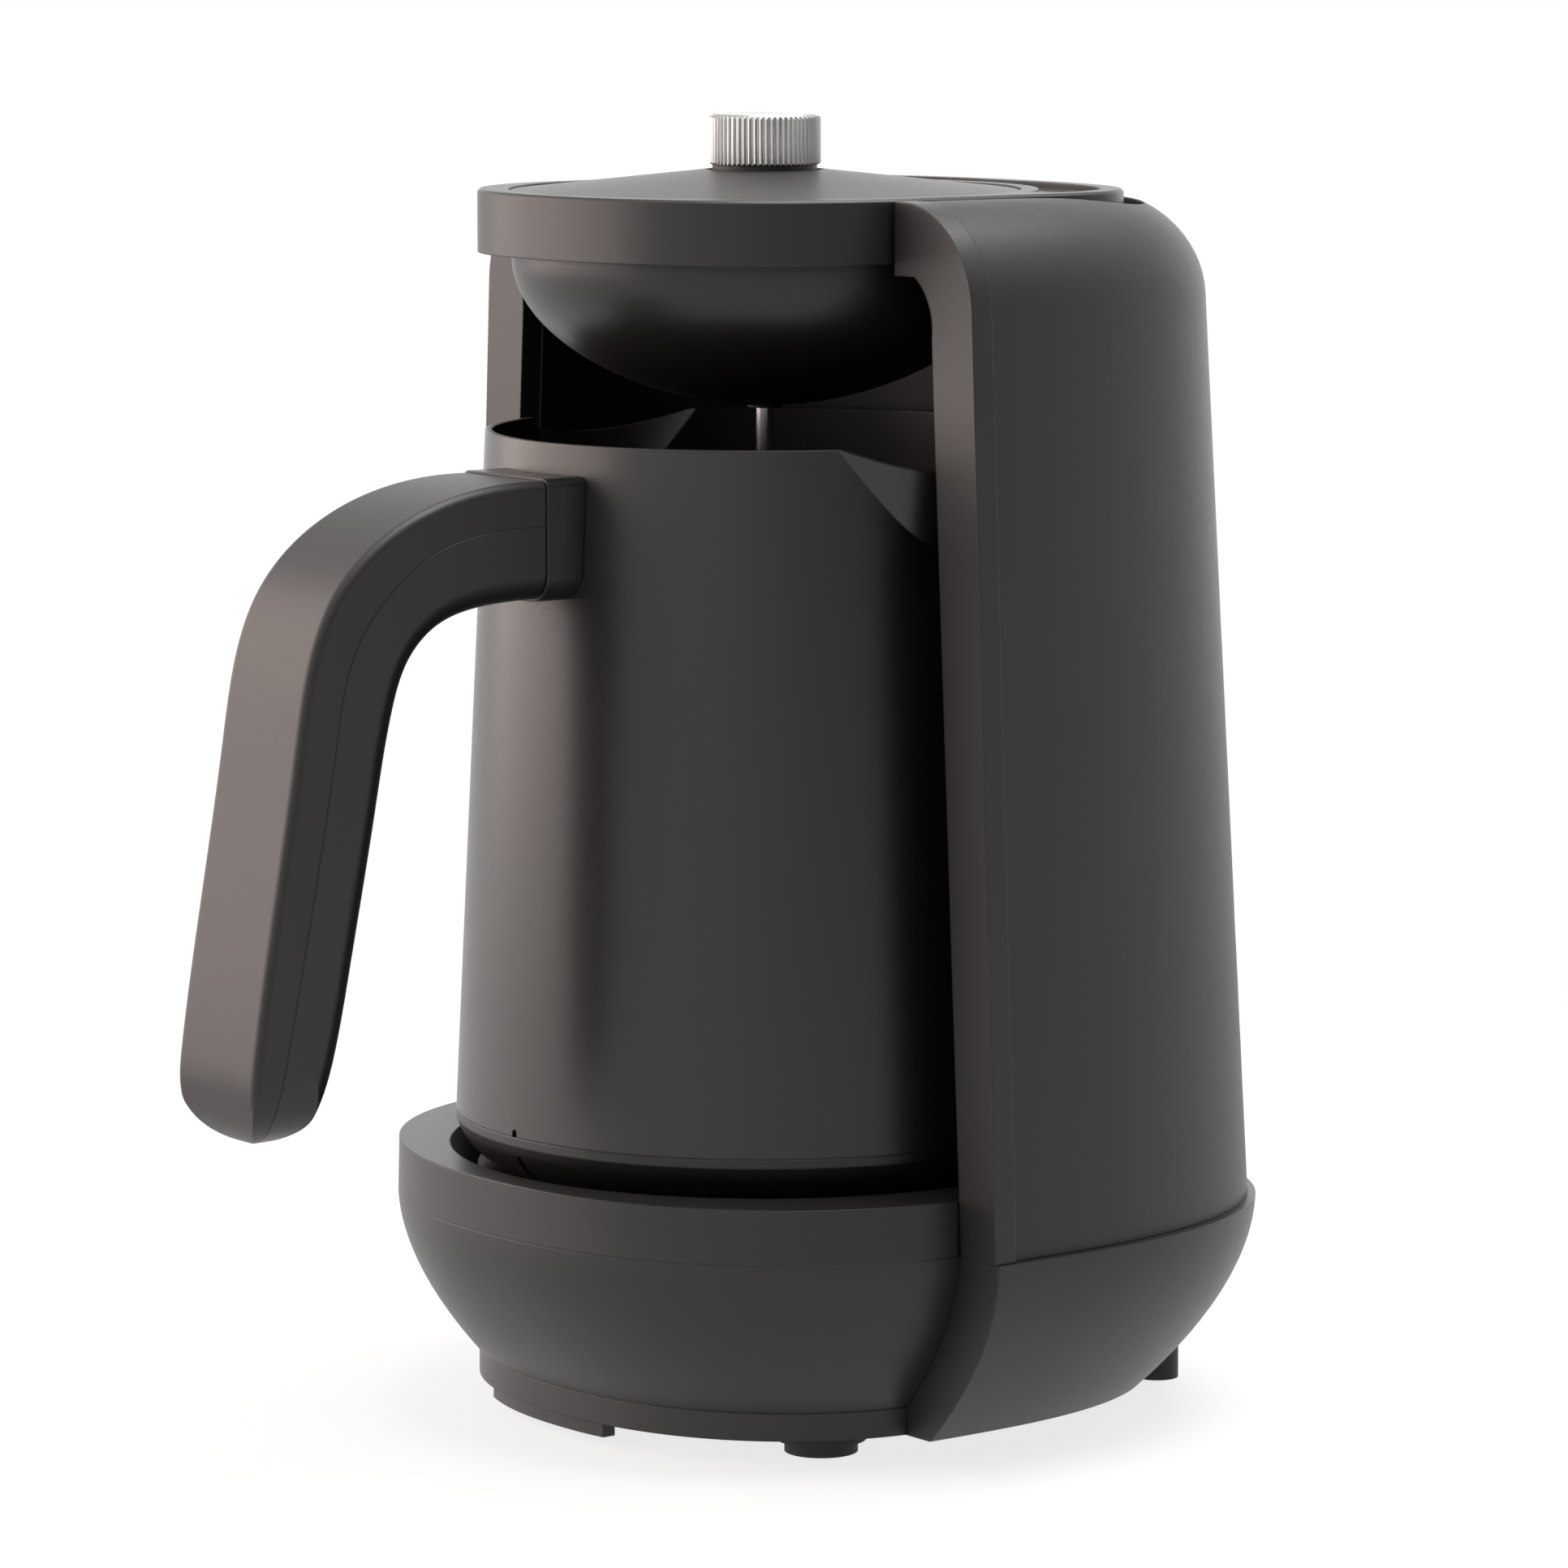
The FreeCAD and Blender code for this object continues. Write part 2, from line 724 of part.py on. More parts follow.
def make_rod_seal():
    """The grommet where the rod leaves the dish."""
    seal = disc(2 * rod_r, dish_bottom_z - 0.4, dish_bottom_z + 3.4)
    seal = seal.fuse(disc(4.4, dish_bottom_z + 1.0, dish_bottom_z + 3.4).cut(dish_cup(0.0).cut(dish_cup(dish_wall))))
    return seal.cut(disc(rod_r, dish_bottom_z - 2, dish_bottom_z + 5))


# Pot

def pot_outside():
    """The pot's plain cone."""
    return turned(pot_seam_r, pot_rim_r, pot_seam_z, pot_rim_z)


def pot_radius(z):
    """The pot's outside radius at a height."""
    return pot_seam_r + (pot_rim_r - pot_seam_r) * (z - pot_seam_z) / (pot_rim_z - pot_seam_z)


def spout_beak(wall, over):
    """One beak: a small leaning cone that swells out of the pot wall towards the rim."""
    rings = []
    for z in (pot_rim_z - spout_drop, pot_rim_z + over):
        share = (z - pot_rim_z + spout_drop) / spout_drop
        x = spout_root_x + (spout_x - spout_root_x) * share
        r = spout_root_r + (spout_r - spout_root_r) * share
        rings.append(Part.Wire(Part.makeCircle(r - wall, V(x, 0, z), V(0, 0, 1))))
    return skin(rings, True)


def make_pot():
    """The pot: a cone with a floor, two beaks and a rim that dips at each of them."""
    low = pot_floor_z + pot_wall
    inside = turned(pot_radius(low) - pot_wall, pot_radius(pot_rim_z + 2) - pot_wall, low, pot_rim_z + 2)
    under = turned(pot_seam_r - pot_wall, pot_radius(pot_floor_z) - pot_wall, pot_seam_z, pot_floor_z)
    beak_out = spout_beak(0.0, 0.0)
    beak_in = spout_beak(pot_wall, 2.0)
    body = pot_outside()
    for turn in (0, 180):
        outer = beak_out.copy()
        outer.rotate(V(0, 0, 0), V(0, 0, 1), turn)
        body = body.fuse(outer)
    body = body.cut(inside)
    for turn in (0, 180):
        inner = beak_in.copy()
        inner.rotate(V(0, 0, 0), V(0, 0, 1), turn)
        body = body.cut(inner)
    far = spout_x + spout_r + 2.0
    slope = spout_dip / (spout_x + spout_r - spout_dip_x)
    corners = [V(spout_dip_x, -40, pot_rim_z), V(far, -40, pot_rim_z - slope * (far - spout_dip_x)),
               V(far, -40, pot_rim_z + 5), V(spout_dip_x, -40, pot_rim_z + 5)]
    wedge = Part.Face(Part.makePolygon(corners + corners[:1])).extrude(V(0, 80, 0))
    body = body.cut(wedge).cut(wedge.mirror(V(0, 0, 0), V(1, 0, 0)))
    half = drain_width / 2
    arch = block(-half, half, -60, -50, pot_seam_z - 1, pot_seam_z + half)
    arch = arch.fuse(Part.makeCylinder(half, 10.0, V(0, -60, pot_seam_z + half), V(0, 1, 0)))
    return body.cut(under).cut(arch)


def make_pot_band():
    """The lower band: a shallow cup with a well-rounded edge."""
    edge_z = pot_seam_z - 1.6
    start = V(pot_foot_r, 0, pot_bottom_z)
    end = V(pot_seam_r, 0, edge_z)
    run = pot_seam_r - pot_foot_r
    rise = edge_z - pot_bottom_z
    radius = (run * run + rise * rise) / (2 * rise)
    half_turn = math.asin(run / radius) / 2
    middle = V(pot_foot_r + radius * math.sin(half_turn), 0, pot_bottom_z + radius * (1 - math.cos(half_turn)))
    hub = 15.6
    floor_z = pot_bottom_z + 2.0
    corners = [end, V(pot_seam_r, 0, pot_seam_z), V(54.2, 0, pot_seam_z), V(54.2, 0, 57.0), V(52.4, 0, 57.0),
               V(52.4, 0, edge_z), V(pot_foot_r, 0, floor_z), V(hub, 0, floor_z), V(hub, 0, pot_bottom_z), start]
    edges = [Part.Arc(start, middle, end).toShape()]
    for first, second in zip(corners, corners[1:]):
        edges.append(Part.makeLine(first, second))
    band = Part.Face(Part.Wire(edges)).revolve(V(0, 0, 0), V(0, 0, 1), 360)
    half = drain_width / 2
    return band.cut(block(-half, half, -60, -50.5, pot_bottom_z, edge_z - 2.0))


def make_pot_connector():
    """The socket in the pot's base."""
    floor_z = pot_bottom_z + 2.0
    roof_z = recess_floor_z + 3.2 + dock_fit
    body = disc(17.6, floor_z, floor_z + 6.6)
    body = body.cut(disc(dock_post_r + dock_fit, floor_z - 1, roof_z))
    groove = disc(8.5 + 0.7, roof_z, roof_z + 3.0).cut(disc(7.5 - 0.7, roof_z, roof_z + 3.0))
    return body.cut(groove).cut(disc(1.8 + dock_fit, roof_z, roof_z + 3.2))


def make_heater():
    """The heating plate under the pot floor."""
    return disc(42.0, pot_floor_z - 4.0, pot_floor_z)


def make_thermostat():
    """The round thermostat between heater and socket."""
    return disc(8.0, pot_bottom_z + 8.6, pot_floor_z - 4.0)


# Handle

def side_curve(points):
    """A smooth curve in the side view, through (y, z) points."""
    curve = Part.BSplineCurve()
    curve.interpolate(Points=[V(-handle_half, y, z) for y, z in points])
    return curve.toShape()


handle_back = [(-57.0, 171.2), (-74.7, 169.7), (-86.1, 165.8), (-95.2, 159.9), (-101.7, 152.3),
               (-105.9, 142.0), (-108.6, 128.0), (-113.2, 102.0), (-117.6, 76.0), (-118.0, 69.5),
               (-116.2, 63.8), (-111.5, 60.2)]
handle_parting = [(-57.0, 163.4), (-69.4, 162.9), (-79.4, 160.5), (-88.4, 154.7), (-94.8, 147.8),
                  (-98.2, 141.0), (-100.4, 131.0), (-107.0, 96.4), (-111.4, 76.0), (-112.9, 68.5),
                  (-112.9, 63.5), (-111.5, 60.2)]
handle_palm = [(-57.0, 150.5), (-71.0, 149.4), (-78.7, 146.6), (-84.1, 141.2), (-87.0, 134.0),
               (-90.7, 117.0), (-96.3, 89.7), (-99.4, 76.0), (-102.2, 68.0), (-106.2, 62.4),
               (-111.5, 60.2)]


def handle_slice(first, second):
    """The solid between two side curves, as wide as the handle."""
    back = side_curve(first)
    palm = side_curve(second)
    root = Part.makeLine(V(-handle_half, first[0][0], first[0][1]), V(-handle_half, second[0][0], second[0][1]))
    return Part.Face(Part.Wire([back, palm, root])).extrude(V(2 * handle_half, 0, 0))


def rounded_end(solid):
    """Round the lower end as seen from the front."""
    end_z = handle_back[-1][1] + handle_half
    gauge = block(-handle_half, handle_half, -130, -50, end_z, 190)
    gauge = gauge.fuse(Part.makeCylinder(handle_half, 80, V(0, -130, end_z), V(0, 1, 0)))
    return solid.common(gauge)


def long_edges(solid, points):
    """The two edges of a slice that run along a side curve."""
    chosen = []
    for edge in solid.Edges:
        x = edge.Vertexes[0].X
        marks = [Part.Vertex(V(x, points[i][0], points[i][1])) for i in (0, 4)]
        if all(edge.distToShape(mark)[0] < 0.01 for mark in marks):
            chosen.append(edge)
    return chosen


def handle_screw(y):
    """A screw from under the arm into the tongue."""
    head = disc(3.0, arm_low_z - 4.0, arm_low_z + 3.0, 0, y)
    return head.fuse(disc(1.4, arm_low_z + 3.0, tongue_z + tongue_thick, 0, y))


def make_handle_screws():
    """Two screws, their heads sunk in the arm."""
    screws = [handle_screw(y).cut(disc(3.0, arm_low_z - 5.0, arm_low_z + 1.2, 0, y)) for y in (-64.0, -74.0)]
    return Part.makeCompound(screws)


def screw_ways():
    """The holes for the handle screws."""
    return Part.makeCompound([handle_screw(y) for y in (-64.0, -74.0)])


def bracket_solid():
    """The steel bracket on the pot wall with its tongue."""
    plate = block(-9, 9, -54.0, -45.0, 153, 168)
    tongue = block(-tongue_half, tongue_half, tongue_end_y, -50.0, tongue_z, tongue_z + tongue_thick)
    return plate.fuse(tongue).cut(pot_outside())


def make_bracket():
    """The bracket with its screw holes."""
    return bracket_solid().cut(screw_ways())


def make_outer_shell():
    """The long outer shell of the handle."""
    shell = handle_slice(handle_back, handle_parting)
    shell = shell.makeFillet(handle_fillet, long_edges(shell, handle_back))
    return rounded_end(shell).cut(bracket_solid()).cut(screw_ways())


def make_inner_shell():
    """The rounded inner shell that the fingers hold."""
    shell = handle_slice(handle_parting, handle_palm)
    shell = shell.makeFillet(grip_fillet, long_edges(shell, handle_palm))
    return rounded_end(shell).cut(bracket_solid()).cut(screw_ways())


def make_arm_collar():
    """The collar that meets the pot wall."""
    half = handle_half + 0.3
    collar = block(-half, half, arm_collar_y, -40.0, arm_low_z - 0.2, arm_top_z + 0.2)
    lower = [e for e in collar.Edges if e.BoundBox.YLength > 16 and e.BoundBox.ZMax < arm_low_z]
    collar = collar.makeFillet(grip_fillet, lower)
    upper = [e for e in collar.Edges if e.BoundBox.YLength > 16 and e.BoundBox.ZMin > arm_top_z]
    collar = collar.makeFillet(handle_fillet, upper)
    return collar.cut(pot_outside()).cut(bracket_solid())


# All the pieces
pieces = [
    ("base_front_bowl", make_front_bowl),
    ("base_plinth_skirt", make_plinth),
    ("base_rear_shell", make_rear_shell),
    ("base_bottom_plate", make_bottom_plate),
    ("base_deck_ring", make_deck),
    ("base_screws", base_screws),
    ("front_feet", make_front_feet),
    ("rear_feet", make_rear_feet),
    ("cord_gland", make_gland),
    ("dock_post", make_dock_post),
    ("dock_contacts", make_dock_contacts),
    ("tower_front_frame", make_frame),
    ("tower_rear_cover", make_cover),
    ("tower_bay_wall", make_bay_wall),
    ("tower_top_frame", make_top_frame),
    ("tower_screws", tower_screws),
    ("hinge_pin", make_hinge_pin),
    ("power_board", make_power_board),
    ("power_board_parts", make_power_parts),
    ("power_board_standoffs", make_standoffs),
    ("head_ring", make_head_ring),
    ("head_underplate", make_underplate),
    ("head_dish", make_dish),
    ("head_lid", make_lid),
    ("head_screws", head_screws),
    ("head_board", make_board),
    ("knob_collar", make_collar),
    ("selector_knob", make_knob),
    ("knob_sleeve", make_sleeve),
    ("knob_plunger", make_plunger),
    ("knob_return_spring", make_spring),
    ("rotary_encoder", make_encoder),
    ("probe_rod", make_rod),
    ("probe_rod_holder", make_rod_holder),
    ("probe_rod_seal", make_rod_seal),
    ("pot_body", make_pot),
    ("pot_base_band", make_pot_band),
    ("pot_heater_plate", make_heater),
    ("pot_thermostat", make_thermostat),
    ("pot_connector", make_pot_connector),
    ("handle_arm_collar", make_arm_collar),
    ("handle_outer_shell", make_outer_shell),
    ("handle_inner_shell", make_inner_shell),
    ("handle_bracket", make_bracket),
    ("handle_screws", make_handle_screws),
]

for piece_name, make_piece in pieces:
    save(piece_name, make_piece())
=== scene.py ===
import json
import math

import bpy
import numpy as np
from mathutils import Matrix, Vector


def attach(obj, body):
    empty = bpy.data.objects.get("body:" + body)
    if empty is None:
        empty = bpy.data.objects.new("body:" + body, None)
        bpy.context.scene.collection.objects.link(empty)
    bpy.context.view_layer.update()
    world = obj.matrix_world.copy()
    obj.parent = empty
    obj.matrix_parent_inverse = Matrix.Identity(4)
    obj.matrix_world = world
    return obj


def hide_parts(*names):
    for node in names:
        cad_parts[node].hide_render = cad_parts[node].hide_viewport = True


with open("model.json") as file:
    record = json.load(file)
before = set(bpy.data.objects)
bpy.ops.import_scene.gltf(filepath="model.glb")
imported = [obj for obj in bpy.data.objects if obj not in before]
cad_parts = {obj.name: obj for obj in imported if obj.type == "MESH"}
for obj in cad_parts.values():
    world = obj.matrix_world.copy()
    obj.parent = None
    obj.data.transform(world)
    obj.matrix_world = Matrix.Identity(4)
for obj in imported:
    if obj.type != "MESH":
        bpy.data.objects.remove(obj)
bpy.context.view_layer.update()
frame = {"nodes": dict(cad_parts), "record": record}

MM = 0.001
SHIFT = 16.05           # how far the pot axis stands behind the origin, in mm
SHARP_ANGLE = 32.0      # edges sharper than this many degrees stay crisp
EDGE_RADIUS = 0.45      # moulded edges look this round, in mm
GRAIN_DEPTH = 0.05      # height of the surface grain, in mm
ROUGH_SPREAD = 0.035    # how far the roughness wanders either way

KNOB_LOW = 223.85
KNOB_HIGH = 232.8
KNOB_BORE_R = 7.05
KNOB_CORE_R = 9.6
KNOB_RIBS = 60

SCREW_LOW = 4.55
SCREW_HIGH = 18.3
SCREW_PLACES = [(-20.0, -34.0), (20.0, -34.0), (-40.0, 26.0), (40.0, 26.0)]
CROSS_LONG = 1.7
CROSS_SHORT = 0.42

FLOOR_SIZE = 8.0        # in m
SHADOW_NEAR = 0.22      # the shadow is full out to here, in m
SHADOW_FAR = 0.5        # and has faded into the white here


# Colour and node helpers

def linear(hex_code, alpha=1.0):
    """An sRGB hex colour as linear RGBA."""
    values = []
    for i in (0, 2, 4):
        c = int(hex_code[i:i + 2], 16) / 255
        values.append(c / 12.92 if c <= 0.04045 else ((c + 0.055) / 1.055) ** 2.4)
    return (*values, alpha)


def add(tree, kind, links=None, stops=(), **settings):
    """Add a node, set its properties, sockets and ramp stops, and link its inputs."""
    node = tree.nodes.new(kind)
    if stops:
        for element, (place, colour) in zip(node.color_ramp.elements, stops):
            element.position = place
            element.color = colour
    for key, value in settings.items():
        if hasattr(node, key):
            setattr(node, key, value)
        else:
            node.inputs[key.replace("_", " ")].default_value = value
    for socket, source in (links or {}).items():
        tree.links.new(source, node.inputs[socket])
    return node


def grey(value):
    """A linear grey."""
    return (value, value, value, 1.0)


def new_material(name):
    """A material with its node tree and its main shader."""
    material = bpy.data.materials.new(name)
    material.use_nodes = True
    return material, material.node_tree, material.node_tree.nodes["Principled BSDF"]


def satin(name, dark, light, rough, grain_mm=0.35, grain=0.05, coat=0.0, metal=0.0):
    """A moulded or painted surface: slow tone drift, fine grain and a broken-up roughness."""
    # the tone drifts over about 55 mm; the grain is drawn coarser than the real 0.1 mm, to show
    material, tree, shader = new_material(name)
    place = add(tree, "ShaderNodeTexCoord")
    slow = add(tree, "ShaderNodeTexNoise", {"Vector": place.outputs["Object"]},
               Scale=18.0, Detail=3.0)
    tone = add(tree, "ShaderNodeValToRGB", {"Fac": slow.outputs["Fac"]},
               stops=[(0.35, linear(dark)), (0.7, linear(light))])
    fine = add(tree, "ShaderNodeTexNoise", {"Vector": place.outputs["Object"]},
               Scale=1.0 / (grain_mm * MM), Detail=2.0)
    spread = add(tree, "ShaderNodeValToRGB", {"Fac": fine.outputs["Fac"]},
                 stops=[(0.3, grey(rough - ROUGH_SPREAD)), (0.7, grey(rough + ROUGH_SPREAD))])
    edge = add(tree, "ShaderNodeBevel", samples=6, Radius=EDGE_RADIUS * MM)
    bump = add(tree, "ShaderNodeBump",
               {"Height": fine.outputs["Fac"], "Normal": edge.outputs["Normal"]},
               Strength=grain, Distance=GRAIN_DEPTH * MM)
    tree.links.new(tone.outputs["Color"], shader.inputs["Base Color"])
    tree.links.new(spread.outputs["Color"], shader.inputs["Roughness"])
    tree.links.new(bump.outputs["Normal"], shader.inputs["Normal"])
    shader.inputs["Metallic"].default_value = metal
    shader.inputs["Coat Weight"].default_value = coat
    shader.inputs["Coat Roughness"].default_value = 0.25
    return material


def turned_metal(name, dark, light, rough):
    """Lathe-turned metal: very fine rings round the upright axis."""
    # the rings are drawn wider than real turning lines of 0.1 mm, to show
    material, tree, shader = new_material(name)
    place = add(tree, "ShaderNodeTexCoord")
    shifted = add(tree, "ShaderNodeMapping", {"Vector": place.outputs["Object"]},
                  Location=(0, -SHIFT * MM, 0))
    rings = add(tree, "ShaderNodeTexWave", {"Vector": shifted.outputs["Vector"]},
                wave_type="RINGS", rings_direction="Z", Scale=1.0 / (1.6 * MM),
                Distortion=0.6, Detail=2.0)
    spread = add(tree, "ShaderNodeValToRGB", {"Fac": rings.outputs["Fac"]},
                 stops=[(0.0, grey(rough - 0.05)), (1.0, grey(rough + 0.06))])
    bump = add(tree, "ShaderNodeBump", {"Height": rings.outputs["Fac"]},
               Strength=0.08, Distance=0.02 * MM)
    drift = add(tree, "ShaderNodeTexNoise", {"Vector": place.outputs["Object"]}, Scale=60.0)
    tone = add(tree, "ShaderNodeValToRGB", {"Fac": drift.outputs["Fac"]},
               stops=[(0.3, linear(dark)), (0.8, linear(light))])
    tree.links.new(tone.outputs["Color"], shader.inputs["Base Color"])
    tree.links.new(spread.outputs["Color"], shader.inputs["Roughness"])
    tree.links.new(bump.outputs["Normal"], shader.inputs["Normal"])
    shader.inputs["Metallic"].default_value = 1.0
    return material


# charcoal moulded ABS of the tower, base and head: dark and even, with a broad soft sheen
HOUSING = satin("charcoal_abs", "262525", "2b2929", 0.40)
# the rear cover, the same ABS with a slightly coarser spark-eroded grain, so a duller sheen
COVER = satin("charcoal_abs_grained", "282828", "2c2c2c", 0.46, grain_mm=0.5, grain=0.08)
# the lid, the same ABS, finely textured: pale where it is seen at a low angle
LID = satin("charcoal_abs_lid", "2a2929", "2e2d2d", 0.42, grain_mm=0.4, grain=0.06)
# black inner ABS of the bay and the parts behind the seams: nearly matt and very dark
INNER = satin("black_abs", "0c0c0c", "111111", 0.5, grain=0.08)
# pot wall: steel with a baked satin charcoal coating, with a smooth clear gradient round the cone
POT = satin("coated_steel", "282626", "2d2b2b", 0.36, grain_mm=0.6, grain=0.03, coat=0.15)
# lower band of the pot: moulded heat-proof plastic, a shade darker than the wall
BAND = satin("heatproof_plastic", "201f1f", "242323", 0.38)
# soft-touch painted plastic of the handle's long outer shell: a wide, even, velvety highlight
GRIP = satin("soft_touch_plastic", "2d2a2a", "312e2e", 0.44, grain=0.03)
# the handle's inner shell and collar, smoother moulded ABS with a tighter highlight
GRIP_INNER = satin("charcoal_abs_smooth", "1f1e1e", "242323", 0.34)
# turned aluminium of the selector knob: silver, with bright ribs and a ringed top
KNOB = turned_metal("turned_aluminium", "a3a2a1", "bebdbb", 0.30)
# drawn stainless steel of the rod, pin and screws: a greyer, tighter metal shine
STEEL = turned_metal("stainless_steel", "8f8f90", "b4b4b4", 0.28)
# cast aluminium of the heating plate: dull and slightly rough
CAST = satin("cast_aluminium", "8d8d8e", "9a9a9b", 0.5, grain_mm=0.8, grain=0.2, metal=1.0)
# moulded black rubber of the feet: matt
RUBBER = satin("foot_rubber", "0b0b0b", "121212", 0.62, grain_mm=0.4, grain=0.15)
# stamped brass of the dock contacts: yellow and bright
BRASS = satin("contact_brass", "b08d3f", "c29d4c", 0.3, metal=1.0)
# green laminated epoxy of the boards, with a lacquer shine
BOARD = satin("epoxy_board", "1d5a31", "236b3b", 0.35)
# moulded black epoxy of the board parts: dull
CHIP = satin("component_epoxy", "191919", "222222", 0.45)

LOOKS = {
    "housing": HOUSING,
    "inner_black": INNER,
    "pot_coat": POT,
    "pot_band": BAND,
    "handle_plastic": GRIP_INNER,
    "knob_metal": KNOB,
    "steel": STEEL,
    "heater_metal": CAST,
    "foot_rubber": RUBBER,
    "contact_brass": BRASS,
    "circuit_board": BOARD,
    "board_parts": CHIP,
}


def dress(obj, material):
    """Give an object one material."""
    obj.data.materials.clear()
    obj.data.materials.append(material)


for subpart in frame["record"]["subparts"]:
    dress(frame["nodes"][subpart["node"]], LOOKS[subpart["material_slot"]])
dress(frame["nodes"]["tower_rear_cover"], COVER)
dress(frame["nodes"]["head_lid"], LID)
dress(frame["nodes"]["handle_outer_shell"], GRIP)


# Shapes of the pieces that are finer here than in the frame

def mesh_object(name, points, faces, material, angle=SHARP_ANGLE):
    """A shaded mesh from points in mm, measured from the pot axis."""
    data = bpy.data.meshes.new(name)
    data.from_pydata([(x * MM, (y + SHIFT) * MM, z * MM) for x, y, z in points], [], faces)
    data.validate()
    data.polygons.foreach_set("use_smooth", [True] * len(data.polygons))
    data.set_sharp_from_angle(angle=math.radians(angle))
    obj = bpy.data.objects.new(name, data)
    obj.data.materials.append(material)
    bpy.context.scene.collection.objects.link(obj)
    return obj


def turned_form(name, profile, material, count=192):
    """A form turned round the pot axis from a closed (r, z) outline."""
    points = []
    faces = []
    size = len(profile)
    for i in range(count):
        angle = 2 * math.pi * i / count
        for r, z in profile:
            points.append((r * math.cos(angle), r * math.sin(angle), z))
    for i in range(count):
        here = i * size
        there = (i + 1) % count * size
        for j in range(size):
            k = (j + 1) % size
            faces.append((here + j, there + j, there + k, here + k))
    return mesh_object(name, points, faces, material)


def corner(a, b, c, r, steps=5):
    """Points of a small fillet of radius r at corner b between neighbours a and c."""
    a, b, c = (np.array(p, float) for p in (a, b, c))
    u = (a - b) / np.linalg.norm(a - b)
    v = (c - b) / np.linalg.norm(c - b)
    half = math.acos(float(np.clip(u @ v, -1, 1))) / 2
    reach = r / math.tan(half)
    middle = b + (u + v) / np.linalg.norm(u + v) * (r / math.sin(half))
    start = b + u * reach
    end = b + v * reach
    points = []
    for i in range(steps + 1):
        blend = start + (end - start) * i / steps
        away = blend - middle
        points.append(tuple(middle + away / np.linalg.norm(away) * r))
    return points


def softened(outline):
    """A closed outline of (r, z, fillet) with its corners rounded."""
    points = []
    for i, (x, z, r) in enumerate(outline):
        before = outline[i - 1][:2]
        after = outline[(i + 1) % len(outline)][:2]
        points += corner(before, (x, z), after, r) if r > 0 else [(x, z)]
    return points


def settle(obj):
    """Turn an object's modifiers into its mesh."""
    graph = bpy.context.evaluated_depsgraph_get()
    data = bpy.data.meshes.new_from_object(obj.evaluated_get(graph))
    obj.modifiers.clear()
    obj.data = data
    obj.data.polygons.foreach_set("use_smooth", [True] * len(data.polygons))
    obj.data.set_sharp_from_angle(angle=math.radians(SHARP_ANGLE))


def node_modifier(obj, tree, values):
    """Put a node tree on an object, set its named inputs and turn the result into the mesh."""
    modifier = obj.modifiers.new(tree.name, "NODES")
    modifier.node_group = tree
    for item in tree.interface.items_tree:
        if item.item_type == "SOCKET" and item.in_out == "INPUT" and item.name in values:
            modifier[item.identifier] = values[item.name]
    settle(obj)


def repeat_tree(name, inputs):
    """A node tree with a geometry input, its own named inputs and a geometry output."""
    tree = bpy.data.node_groups.new(name, "GeometryNodeTree")
    tree.interface.new_socket(name="Core", in_out="INPUT", socket_type="NodeSocketGeometry")
    for label, kind in inputs:
        tree.interface.new_socket(name=label, in_out="INPUT", socket_type=kind)
    tree.interface.new_socket(name="Geometry", in_out="OUTPUT", socket_type="NodeSocketGeometry")
    return tree


def ribs_round_tree():
    """Ribs set evenly round an upright axis, joined to a core."""
    tree = repeat_tree("ribs_round_axis", [
        ("Rib", "NodeSocketObject"), ("Count", "NodeSocketInt"),
        ("Axis place", "NodeSocketVector"), ("Surface", "NodeSocketMaterial")])
    source = add(tree, "NodeGroupInput")
    spots = add(tree, "GeometryNodePoints",
                {"Count": source.outputs["Count"], "Position": source.outputs["Axis place"]})
    index = add(tree, "GeometryNodeInputIndex")
    step = add(tree, "ShaderNodeMath", operation="DIVIDE")
    step.inputs[0].default_value = 2 * math.pi
    tree.links.new(source.outputs["Count"], step.inputs[1])
    turn = add(tree, "ShaderNodeMath", operation="MULTIPLY")
    tree.links.new(index.outputs[0], turn.inputs[0])
    tree.links.new(step.outputs[0], turn.inputs[1])
    euler = add(tree, "ShaderNodeCombineXYZ", {"Z": turn.outputs[0]})
    rib = add(tree, "GeometryNodeObjectInfo", {"Object": source.outputs["Rib"]})
    placed = add(tree, "GeometryNodeInstanceOnPoints",
                 {"Points": spots.outputs[0], "Instance": rib.outputs["Geometry"],
                  "Rotation": euler.outputs[0]})
    joined = add(tree, "GeometryNodeJoinGeometry")
    tree.links.new(source.outputs["Core"], joined.inputs[0])
    tree.links.new(placed.outputs[0], joined.inputs[0])
    real = add(tree, "GeometryNodeRealizeInstances", {"Geometry": joined.outputs[0]})
    looked = add(tree, "GeometryNodeSetMaterial",
                 {"Geometry": real.outputs[0], "Material": source.outputs["Surface"]})
    add(tree, "NodeGroupOutput", {"Geometry": looked.outputs[0]})
    return tree


def copies_tree():
    """One copy of an item on every point of a mesh."""
    tree = repeat_tree("copies_on_points", [
        ("Item", "NodeSocketObject"), ("Surface", "NodeSocketMaterial")])
    source = add(tree, "NodeGroupInput")
    item = add(tree, "GeometryNodeObjectInfo", {"Object": source.outputs["Item"]})
    placed = add(tree, "GeometryNodeInstanceOnPoints",
                 {"Points": source.outputs["Core"], "Instance": item.outputs["Geometry"]})
    real = add(tree, "GeometryNodeRealizeInstances", {"Geometry": placed.outputs[0]})
    looked = add(tree, "GeometryNodeSetMaterial",
                 {"Geometry": real.outputs[0], "Material": source.outputs["Surface"]})
    add(tree, "NodeGroupOutput", {"Geometry": looked.outputs[0]})
    return tree


